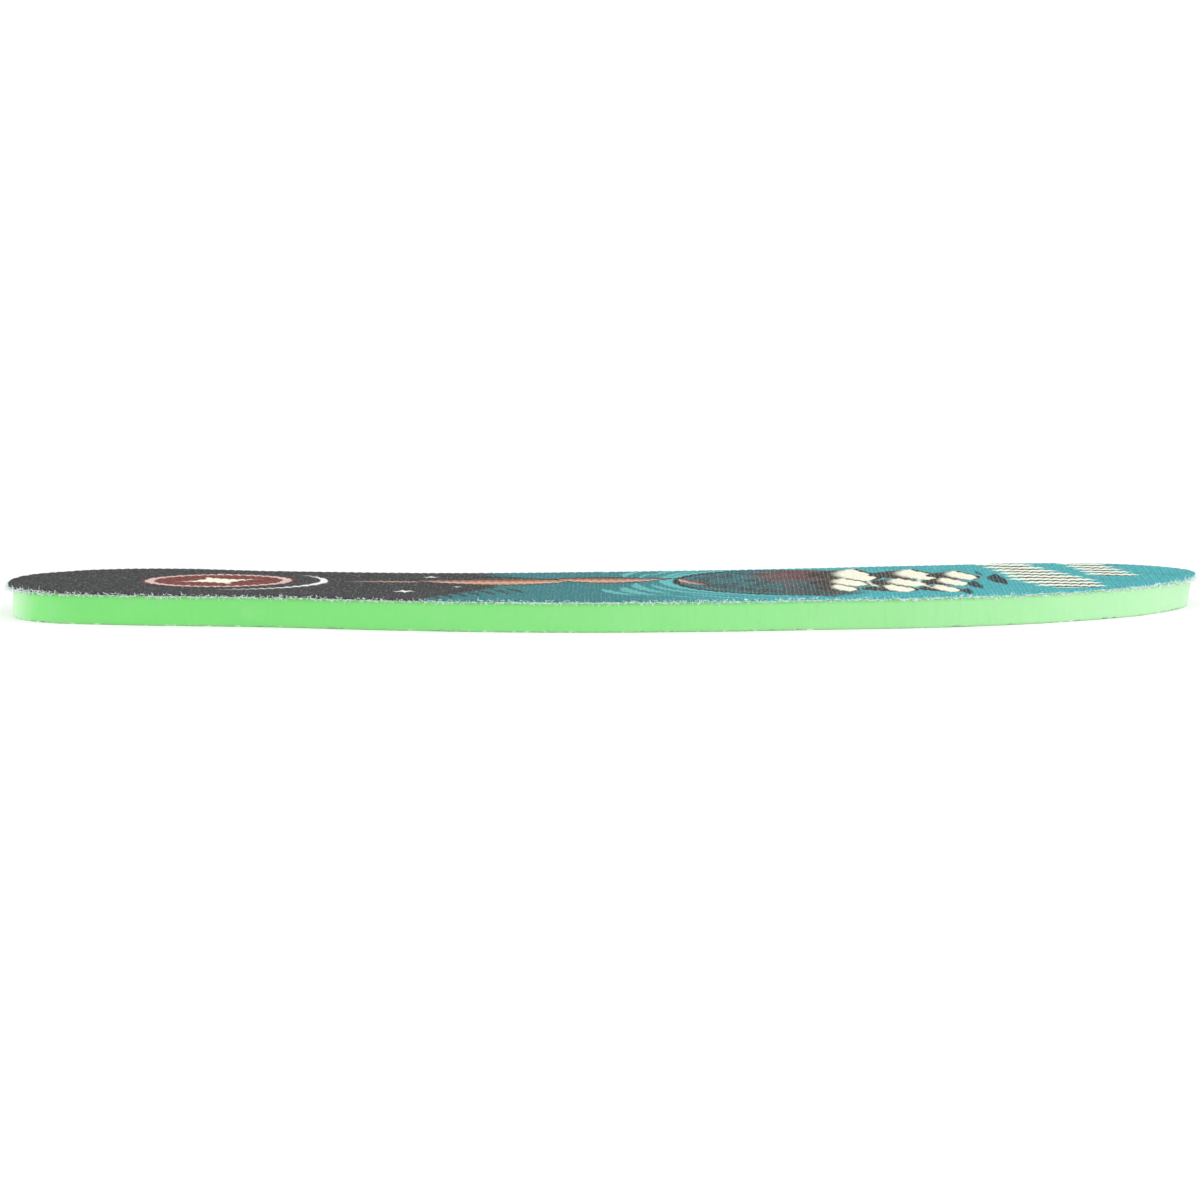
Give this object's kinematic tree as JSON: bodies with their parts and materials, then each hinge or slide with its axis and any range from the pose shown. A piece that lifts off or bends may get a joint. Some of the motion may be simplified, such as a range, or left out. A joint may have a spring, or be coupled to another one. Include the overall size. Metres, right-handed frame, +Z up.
{
  "type": "shoe insole",
  "caption": "Flat die-cut insole for a right shoe: printed ribbed knit top cloth laminated to a soft foam slab of even thickness.",
  "frame": {"origin": "middle of the sole's box, on the underside that rests on the shoe or floor", "axes": "+X from the heel to the toe, +Y to the inner (arch and big toe) edge, +Z up from the underside to the cloth"},
  "size_m": [0.28, 0.106, 0.0075],
  "materials": {
    "printed_knit": "coarse ribbed polyester knit, charcoal at the heel turning to teal at the toe, with undyed white yarn ends at the cut edge",
    "hot_melt_film": "milky hot-melt adhesive film",
    "green_foam": "fine-celled light green polyurethane foam with a knife-cut side"
  },
  "bodies": {
    "root": {"top_cloth": "printed_knit", "bond_film": "hot_melt_film", "foam_slab": "green_foam"}
  },
  "joints": []
}
